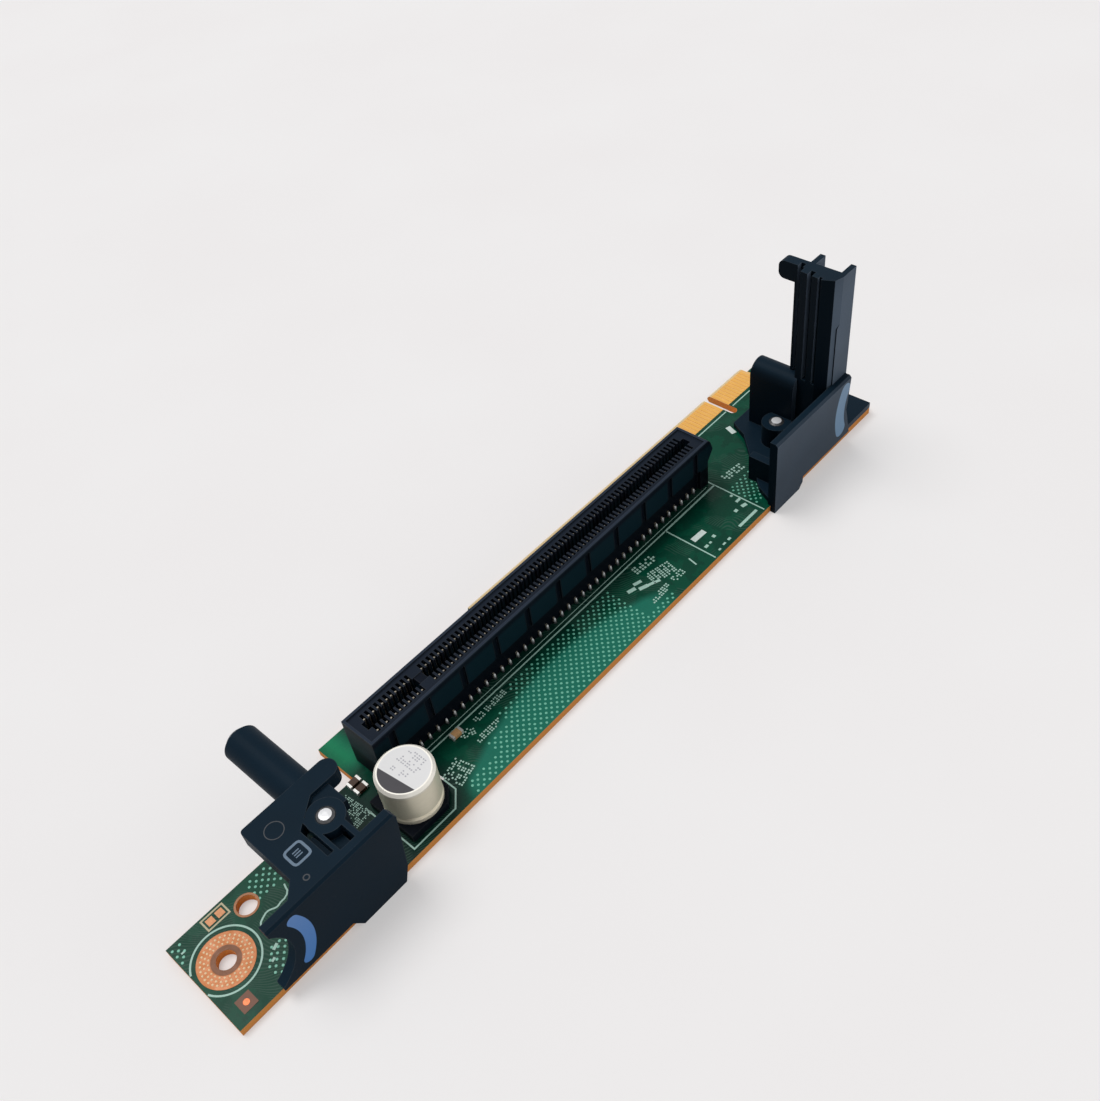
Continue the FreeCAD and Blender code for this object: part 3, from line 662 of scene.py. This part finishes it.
def contact_finish(name, rgb, roughness, pale=None):
    """Plating with faint insertion rubs along Y, paler toward low X as a painted sheen where a
    pale colour is given."""
    f = Finish(name)
    n = f.n
    where = n.place()
    rub = n.ramp(n.noise(n.stretched(where, (6.0, 0.4, 1.0)), 1.0, 3.0), 0.45, 0.7)
    warm = n.ramp(n.noise(where, 0.2, 2.0), 0.3, 0.7)
    body = n.over(rgb, darker(rgb, 0.8), warm, 0.3)
    if pale is not None:
        # painted sheen: paler toward low X
        body = n.over(body, pale, n.ramp(n.split(where)[0], *GOLD_FADE))
    body = n.over(body, lighter(rgb, 0.25), rub, 0.12)
    return f.done(body, n.ramp(rub, 0.0, 1.0, roughness, roughness + 0.14), rub, 0.1, 0.01,
                  Metallic=0.55)


def land_finish():
    """Copper land, clouded and flecked, with a dark worn seat by the hole."""
    copper = finish().copper
    f = Finish("copper_land")
    n = f.n
    where = n.place()
    x, y, _ = n.split(where)
    worn = n.ramp(n.distance(x, y), WORN_SEAT, WORN_SEAT - 0.15)
    cloud = n.ramp(n.noise(where, 0.9, 4.0), 0.3, 0.7)
    fleck = n.ramp(n.noise(where, 1.1, 2.0), 0.66, 0.72)
    body = n.over(copper, lighter(copper, 0.12), cloud, 0.4)
    body = n.over(body, darker(copper, 0.45), fleck, 0.7)
    body = n.over(body, darker(copper, 0.3), worn)
    return f.done(body, n.ramp(cloud, 0.0, 1.0, 0.45, 0.34), n.minus(cloud, worn), 0.3, 0.05,
                  Metallic=0.25)


def can_finish():
    """Satin can with a pale rim and a printed dark segment on the low-X side of its lid."""
    c = finish()
    f = Finish("capacitor_aluminium")
    n = f.n
    where = n.place()
    x, y, z = n.split(where)
    top = float(CAN_HIGH[2])
    dx, dy = n.minus(x, CAN_X), n.minus(y, CAN_Y)
    lid = n.times(n.ramp(z, top - 0.06, top - 0.03), n.ramp(n.distance(dx, dy), 4.35, 4.28))
    slant, segment_at = 0.12, -2.0
    segment = n.ramp(n.plus(dx, n.times(dy, slant)), segment_at + 0.07, segment_at)
    streak = n.noise(n.stretched(where, (0.6, 0.6, 5.0)), 1.4, 4.0, 0.6)
    body = n.over(c.can, darker(c.can, 0.7), n.ramp(streak, 0.3, 0.75), 0.3)
    body = n.over(body, srgb(252, 250, 244), n.ramp(z, top - 1.0, top - 0.3, 0.0, 0.75))
    body = n.over(body, srgb(232, 232, 232), lid)
    body = n.over(body, c.can_print, lid, segment)
    shine = n.minus(1.0, n.times(lid, 0.85))
    return f.done(body, n.ramp(streak, 0.2, 0.8, 0.3, 0.42), streak, 0.12, 0.02,
                  Metallic=n.times(shine, 0.2))


def ink_finish(name, rgb, patchy=0.3, roughness=0.5):
    """Printed ink, a little thin in places."""
    f = Finish(name)
    n = f.n
    where = n.place()
    thin = n.ramp(n.noise(where, 2.2, 4.0, 0.7), 0.4, 0.7)
    body = n.over(rgb, darker(rgb, 0.62), thin, patchy)
    return f.done(body, roughness, n.noise(where, 9.0, 2.0), 0.15, 0.01)


# ---------------------------------------------------------------- operators
def made(name):
    """A material that the finishes step has made."""
    material = bpy.data.materials.get(name)
    if material is None:
        raise RuntimeError(f"The finish {name} isn't there: the finishes step comes first")
    return material


def ink_levels():
    """Foot and top of printed ink on the board, mm."""
    return BOARD_TOP - SUNK, BOARD_TOP + size().ink / MM


class RISER_OT_finishes(bpy.types.Operator):
    """Give every node of the card its procedural finish"""
    bl_idname = "riser.finishes"
    bl_label = "Finishes"

    def execute(self, context):
        c = finish()
        build_groups()
        slot = plastic_finish("slot_plastic", c.slot, 0.3, 8.0, 0.4, panels=c.slot_panel)
        gold = contact_finish("edge_gold", c.gold, 0.28, c.gold_sheen)
        spring = contact_finish("spring_plating", srgb(158, 150, 134), 0.35)
        rivet = rivet_finish()
        tinned = metal_finish("tinned_metal", srgb(222, 222, 218), 0.34, 0.5)
        ink_finish("legend_ink", c.legend)
        given = {
            "circuit_board": board_finish(),
            "edge_contacts_top": gold,
            "edge_contacts_bottom": gold,
            "slot_housing": slot,
            "slot_contacts_near": spring,
            "slot_contacts_far": spring,
            "guide_bracket": plastic_finish("bracket_plastic", c.bracket, 0.35, 7.0, 0.45,
                                            (GUIDE_MARK, c.touch_guide)),
            "arm_bracket": plastic_finish("arm_plastic", c.bracket, 0.35, 7.0, 0.45,
                                          (ARM_MARK, c.touch_arm), side_light_strength=0.7),
            "guide_bracket_rivet": rivet,
            "arm_bracket_rivet": rivet,
            "capacitor_can": can_finish(),
            "capacitor_seat": plastic_finish("seat_plastic", darker(c.slot, 0.6), 0.2, 8.0,
                                             0.4),
            "capacitor_terminals": tinned,
            "ceramic_chips": chip_finish(),
            "chip_end_caps": tinned,
            "fixing_hole_land": land_finish(),
            "tooling_hole_rim": metal_finish("hole_rim", srgb(158, 104, 66), 0.45, 0.2),
            "fiducial_pad": ink_finish("fiducial_recess", srgb(112, 66, 40)),
            "test_pads": metal_finish("test_pad_tin", srgb(188, 128, 84), 0.4, 0.3),
        }
        unknown = set(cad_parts) ^ set(given)
        if unknown:
            raise RuntimeError(f"Nodes and finishes differ: {sorted(unknown)}")
        for name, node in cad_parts.items():
            node.data.materials.clear()
            node.data.materials.append(given[name])
        return {"FINISHED"}


class RISER_OT_legend_lines(bpy.types.Operator):
    """Print the legend's ring, boxes and lines on the board"""
    bl_idname = "riser.legend_lines"
    bl_label = "Legend lines"

    def execute(self, context):
        s = size()
        levels = ink_levels()
        width = s.line / MM
        lines = Shapes()
        radius = s.ring_radius / MM
        end_margin, ring_points = 0.15, 72
        cut = math.degrees(math.acos((-BOARD_LOW[0] - end_margin) / radius))
        ring = arc((0, 0), radius, cut - 180, 180 - cut, ring_points)
        lines.add(ribbon(ring, width * 1.1, *levels))

        near = float(BOARD_LOW[1]) + 0.35
        start = 38.0
        outer, inner = SLOT_FACE - 1.35, SLOT_FACE - 0.45
        left, right = 109.1, 125.1
        root = TAB_LOW[1] - 0.9
        notch_gap = 1.25
        corner, seat_gap = 2.6, 0.75
        low, high = SEAT_LOW[:2] - seat_gap, SEAT_HIGH[:2] + seat_gap
        seat = [(low[0], high[1]), (low[0], low[1]), (high[0] - corner, low[1]),
                (high[0], low[1] + corner), (high[0], high[1] - corner),
                (high[0] - corner, high[1])]
        edge_of_patch = [(13.45, 2.85), (13.2, 2.1), (13.1, 1.6), (12.6, 1.1), (11.9, 0.85),
                         (11.2, 0.85), (10.4, 0.65), (9.9, 0.8), (9.5, 1.05), (9.0, 1.25),
                         (8.5, 1.25), (7.7, 0.95), (7.1, 0.65), (6.7, 0.1), (6.4, -0.4)]
        paths = [
            ([(start, outer), (left, outer)], width),
            ([(start, inner), (right - 1.5, inner)], width * 0.45),
            ([(left, outer), (right, outer)], width * 1.4),
            ([(left, outer), (left, near)], width),
            ([(right, SLOT_FACE + 0.7), (right, near)], width),
            (seat, width),
            ([(125.5, root), (NOTCH - notch_gap, root)], width),
            ([(NOTCH + notch_gap, root), (157.0, root)], width),
            (edge_of_patch, width),
        ]
        for path, across in paths:
            lines.add(ribbon(path, across, *levels))
        lines.piece("legend_lines", made("legend_ink"))

        pads_low, pads_high = node_box("test_pads")
        margin = 0.45
        low, high = pads_low - margin, pads_high + margin
        outline = Shapes()
        square = [(low[0], low[1]), (high[0], low[1]), (high[0], high[1]), (low[0], high[1])]
        outline.add(ribbon(square, width, *levels, closed=True), closed=True)
        outline.piece("test_pad_outline", ink_finish("pad_outline_ink", srgb(196, 186, 150)))
        return {"FINISHED"}


class RISER_OT_legend_marks(bpy.types.Operator):
    """Print the small illegible marks and blocks of the legend"""
    bl_idname = "riser.legend_marks"
    bl_label = "Legend marks"

    def execute(self, context):
        rng = np.random.default_rng(size().seed)
        levels = ink_levels()
        marks = Shapes()
        # first sign, direction, rows, signs in a row, height
        rows = [
            ((29.4, 7.2), (0.1, -1.0), 4, 9, 0.8),
            ((45.4, -2.4), (0.25, -1.0), 3, 4, 1.25),
            ((51.3, -3.3), (1.0, 0.0), 1, 6, 1.15),
            ((53.6, -0.1), (1.0, 0.05), 1, 9, 1.1),
            ((50.9, -0.9), (0.45, 1.0), 2, 2, 1.2),
            ((97.0, -0.6), (1.0, -0.1), 1, 4, 1.7),
            ((97.4, -3.2), (1.0, -0.22), 2, 5, 1.35),
            ((93.2, -7.7), (1.0, 0.02), 1, 9, 1.3),
            ((127.7, 0.9), (1.0, -0.12), 1, 4, 1.7),
        ]
        for origin, along, count, per_row, height in rows:
            bars = sign_dashes(rng, origin, along, count, per_row, height)
            marks.add(ribbon(bars, height * 0.25, *levels))
        # start, stop, width
        blocks = [
            ((118.4, -8.75), (124.1, -8.8), 0.62),
            ((113.1, -6.3), (113.8, -6.3), 0.7),
            ((111.4, -6.8), (112.0, -6.8), 0.45),
            ((110.0, -6.8), (110.9, -6.8), 0.6),
            ((124.2, -2.5), (124.8, -2.5), 0.5),
            ((123.6, -4.3), (124.9, -4.3), 0.6),
            ((123.2, -5.9), (124.4, -6.2), 0.8),
            ((121.2, -5.7), (122.0, -5.7), 0.7),
            ((114.2, -9.1), (115.0, -9.1), 0.5),
            ((112.6, -9.1), (113.4, -9.1), 0.4),
            ((111.0, -9.3), (111.6, -9.3), 0.4),
            ((105.9, -6.0), (105.5, -8.1), 0.3),
            ((92.3, -2.1), (94.0, -2.6), 0.8),
            ((94.4, -1.8), (96.1, -2.3), 0.7),
            ((94.2, -3.3), (96.0, -4.0), 0.8),
            ((96.0, -4.0), (98.4, -5.0), 0.6),
            ((-3.9, 6.2), (-3.3, 6.2), 0.3),
            ((5.6, -4.4), (6.6, -4.0), 0.5),
            ((4.3, -5.7), (5.0, -5.5), 0.4),
        ]
        for start, stop, across in blocks:
            marks.add(ribbon([start, stop], across, *levels))
        marks.piece("legend_marks", made("legend_ink"))
        patches = Shapes()
        for start, stop, across in (((110.1, -3.8), (113.5, -4.0), 1.25),
                                    ((141.2, 10.4), (140.4, 8.1), 1.15)):
            patches.add(ribbon([start, stop], across, *levels))
        patches.piece("legend_patches", ink_finish("bright_legend_ink", srgb(220, 236, 230)))
        return {"FINISHED"}


class RISER_OT_vias(bpy.types.Operator):
    """Stitch the board with rows of tented vias"""
    bl_idname = "riser.vias"
    bl_label = "Vias"

    def execute(self, context):
        s = size()
        rng = np.random.default_rng(s.seed + 1)
        pitch = s.via_pitch / MM
        radius = s.via_radius / MM
        ring_gap, scatter, sides = 0.7, 0.03, 7
        hole_clear = radius + s.ring_radius / MM + ring_gap
        # lowest and highest X, lowest and highest Y
        fields = [
            (44.5, 97.0, -9.6, 1.2),
            (9.5, 17.0, 4.0, 8.0),
            (3.6, 9.8, -8.8, -3.6),
            (126.0, 133.5, -7.5, -1.0),
            (-4.6, -3.2, 3.5, 8.0),
        ]
        clear = [(44.0, 51.5, -7.3, 2.0), (51.5, 57.5, -4.4, 2.0), (57.5, 62.5, -1.6, 2.0),
                 (90.5, 97.0, -8.9, 2.0)]
        points = np.vstack([staggered(field, pitch) for field in fields])
        x, y = points.T
        keep = np.hypot(x, y) > hole_clear
        for x0, x1, y0, y1 in clear:
            keep &= ~((x > x0) & (x < x1) & (y > y0) & (y < y1))
        points = points[keep]
        points = points + rng.normal(0, scatter, points.shape)
        vias = Shapes()
        vias.add(buttons(points, [(radius, BOARD_TOP - SUNK),
                                  (radius * 0.75, BOARD_TOP + 0.03)], sides))
        vias.piece("tented_vias", ink_finish("via_mask", srgb(108, 190, 164), 0.35, 0.3))
        return {"FINISHED"}


class RISER_OT_moulded_marks(bpy.types.Operator):
    """Raised frame and ejector rings on the guide bracket's plate"""
    bl_idname = "riser.moulded_marks"
    bl_label = "Moulded marks"

    def execute(self, context):
        top = float(GUIDE_HIGH[2])
        levels = top - SUNK, top + 0.02     # the marks stand up as far as printed ink
        middle = np.array((15.3, -5.1))
        half, power = 1.5, 6
        turn = np.radians(np.arange(0, 360, 10) + 5.0)
        unit = np.stack([np.cos(turn), np.sin(turn)], 1)
        # a round-cornered square: |x| ** power + |y| ** power = 1
        rounded = unit / (np.abs(unit) ** power).sum(1, keepdims=True) ** (1 / power)
        frame_mark = Shapes()
        frame_mark.add(ribbon(middle + half * rounded, 0.42, *levels, closed=True), closed=True)
        for dy in (-0.45, 0.0, 0.45):
            frame_mark.add(ribbon([middle + (-0.6, dy), middle + (0.6, dy)], 0.2, *levels))
        frame_mark.piece("plate_date_frame", ink_finish("moulded_mark", srgb(92, 116, 138), 0.5))
        rings = Shapes()
        for centre, radius, across, sides in (((15.45, 0.55), 1.5, 0.16, 32),
                                              ((13.7, -9.1), 0.45, 0.2, 14)):
            circle = arc(centre, radius, 0, 360 - 360 / sides, sides)
            rings.add(ribbon(circle, across, *levels, closed=True), closed=True)
        rings.piece("plate_ejector_rings",
                    ink_finish("ejector_mark", darker(tuple(finish().bracket), 0.55)))
        return {"FINISHED"}


class RISER_OT_solder(bpy.types.Operator):
    """Solder fillets at the slot's tails and on the land"""
    bl_idname = "riser.solder"
    bl_label = "Solder"

    def execute(self, context):
        first_tail, tail_pitch, tail_in = 38.75, 2.0, 0.55
        x = np.arange(first_tail, SLOT_HIGH[0] - 2.5, tail_pitch)
        y = np.array((SLOT_FACE + tail_in, SLOT_HIGH[1] - tail_in))
        tails = Shapes()
        tails.add(buttons(np.stack(np.meshgrid(x, y), -1).reshape(-1, 2),
                          [(0.36, BOARD_TOP), (0.28, BOARD_TOP + 0.3), (0.22, BOARD_TOP + 0.8),
                           (0.14, BOARD_TOP + 1.25)], 8))
        tails.piece("slot_tail_solder", tail_finish(), smooth=True)

        top = float(node_box("fixing_hole_land")[1][2])
        dots = Shapes()
        for radius, count, dot in ((2.75, 22, 0.2), (3.35, 27, 0.22), (3.95, 32, 0.23)):
            start = 180 / count * (count % 2)
            places = arc((0, 0), radius, start, start + 360 - 360 / count, count)
            dots.add(buttons(places, [(dot, top - SUNK), (dot * 0.65, top + 0.05)], 7))
        dots.piece("land_solder_dots", ink_finish("solder_dot", srgb(240, 204, 156), 0.25, 0.35))

        low, high = node_box("fiducial_pad")
        spot = Shapes()
        spot.add(buttons((low[:2] + high[:2])[None] / 2,
                         [(0.55, high[2] - SUNK), (0.5, high[2] + 0.02)], 20))
        spot.piece("fiducial_dot",
                   metal_finish("fiducial_copper", srgb(236, 122, 74), 0.4, 0.4))
        return {"FINISHED"}


class RISER_OT_can_print(bpy.types.Operator):
    """Grey illegible print on the capacitor's lid"""
    bl_idname = "riser.can_print"
    bl_label = "Can print"

    def execute(self, context):
        rng = np.random.default_rng(size().seed + 5)
        top = float(CAN_HIGH[2])
        height = 1.15
        print_marks = Shapes()
        for dx, count in ((-1.2, 4), (0.6, 5), (2.3, 4)):
            start = (CAN_X + dx, CAN_Y + count * height * SIGN_STEP / 2)
            bars = sign_dashes(rng, start, (0.0, -1.0), 1, count, height)
            print_marks.add(ribbon(bars, height * 0.2, top - SUNK, top + 0.015))
        print_marks.piece("can_print", ink_finish("can_ink", srgb(184, 184, 190)))
        return {"FINISHED"}


def studio_floor():
    """Pale paper under the card that looks the same to the camera and to glossy metal.
    The rays that see it get a grey that gives off light; the rest get plain paper."""
    half = 3.0
    level = float(BOARD_LOW[2]) * MM
    corners = np.array([(-half, -half, level), (half, -half, level), (half, half, level),
                        (-half, half, level)])
    mesh = bpy.data.meshes.new("studio_floor")
    mesh.from_pydata(corners.tolist(), [], [(0, 1, 2, 3)])
    floor = bpy.data.objects.new("studio_floor", mesh)
    bpy.context.scene.collection.objects.link(floor)
    f = Finish("floor_paper")
    fleck = f.n.ramp(f.n.noise(f.n.place(), 0.02, 2.0), 0.3, 0.7)
    seen = f.n.seen()
    paper = f.n.mix(fleck, srgb(196, 194, 194), srgb(198, 197, 197))
    f.set(Base_Color=f.n.mix(seen, srgb(150, 150, 152), paper), Roughness=0.8)
    f.set(Specular_IOR_Level=0.1, Emission_Color=srgb(255, 253, 252))
    f.set(Emission_Strength=f.n.math("MULTIPLY", seen, 0.36))
    mesh.materials.append(f.material)


def studio_world():
    """Even sky light, seen directly as the floor's own pale tone."""
    world = bpy.data.worlds.new("studio_world")
    bpy.context.scene.world = world
    world.use_nodes = True
    nodes = Nodes(world.node_tree)
    background = world.node_tree.nodes["Background"]
    sky, sky_level = srgb(246, 247, 250), 0.46
    tone = nodes.mix(nodes.seen(), darker(sky, sky_level), srgb(240, 238, 238))
    world.node_tree.links.new(tone, background.inputs["Color"])
    background.inputs["Strength"].default_value = 1.0


def studio_lamp(name, direction, energy, angle, tint):
    """A soft sun: its axes are the direction, the level line across it, and their cross."""
    data = bpy.data.lights.new(name, "SUN")
    data.energy = energy
    data.angle = math.radians(angle)
    data.color = srgb(*tint)[:3]
    lamp = bpy.data.objects.new(name, data)
    z_axis = -np.array(direction) / np.linalg.norm(direction)
    x_axis = np.cross((0.0, 0.0, 1.0), z_axis)
    x_axis /= np.linalg.norm(x_axis)
    y_axis = np.cross(z_axis, x_axis)
    turn = np.eye(4)
    turn[:3, :3] = np.column_stack([x_axis, y_axis, z_axis])
    lamp.matrix_world = Matrix(turn.tolist())
    bpy.context.scene.collection.objects.link(lamp)


class RISER_OT_studio(bpy.types.Operator):
    """Pale floor, soft lamps and the camera"""
    bl_idname = "riser.studio"
    bl_label = "Studio"

    def execute(self, context):
        scene = context.scene
        studio_floor()
        studio_world()
        studio_lamp("window_lamp", (0.15, -0.55, -1.35), 1.45, 34.0, (250, 249, 248))
        studio_lamp("front_lamp", (-0.6, 0.8, -0.5), 0.28, 50.0, (255, 248, 243))

        camera = bpy.data.cameras.new("studio_camera")
        camera.sensor_width = 36.0
        camera.lens = 36.95
        camera.clip_start, camera.clip_end = 0.01, 20.0
        eye = bpy.data.objects.new("studio_camera", camera)
        right = (0.66351281, -0.74021, -0.10881134)
        up = (0.58714978, 0.42504206, 0.6889081)
        back = (-0.46368727, -0.5209879, 0.716635)
        stand = np.array((-10.27, -97.70, 159.37)) * MM
        view = np.eye(4)
        view[:3] = np.column_stack([right, up, back, stand])
        eye.matrix_world = Matrix(view.tolist())
        scene.collection.objects.link(eye)
        scene.camera = eye
        scene.view_settings.view_transform = "Standard"
        return {"FINISHED"}


STEPS = (RISER_OT_finishes, RISER_OT_legend_lines, RISER_OT_legend_marks, RISER_OT_vias,
         RISER_OT_moulded_marks, RISER_OT_solder, RISER_OT_can_print, RISER_OT_studio)


class RISER_PT_panel(bpy.types.Panel):
    """Lists the steps that dress the card"""
    bl_idname = "RISER_PT_panel"
    bl_label = "Riser Card"
    bl_space_type = "VIEW_3D"
    bl_region_type = "UI"
    bl_category = "Riser Card"

    def draw(self, context):
        for step in STEPS:
            self.layout.operator(step.bl_idname)
        for settings in (context.scene.riser_finish, context.scene.riser_size):
            for key in settings.bl_rna.properties.keys():
                if key not in ("rna_type", "name"):
                    self.layout.prop(settings, key)


CLASSES = (RiserFinishSettings, RiserSizeSettings) + STEPS + (RISER_PT_panel,)


def register():
    for item in CLASSES:
        bpy.utils.register_class(item)
    bpy.types.Scene.riser_finish = PointerProperty(type=RiserFinishSettings)
    bpy.types.Scene.riser_size = PointerProperty(type=RiserSizeSettings)


def unregister():
    del bpy.types.Scene.riser_size
    del bpy.types.Scene.riser_finish
    for item in reversed(CLASSES):
        bpy.utils.unregister_class(item)


def main():
    """Dress the card, step by step."""
    register()
    bpy.ops.riser.finishes()
    bpy.ops.riser.legend_lines()
    bpy.ops.riser.legend_marks()
    bpy.ops.riser.vias()
    bpy.ops.riser.moulded_marks()
    bpy.ops.riser.solder()
    bpy.ops.riser.can_print()
    bpy.ops.riser.studio()


if __name__ == "__main__":
    main()
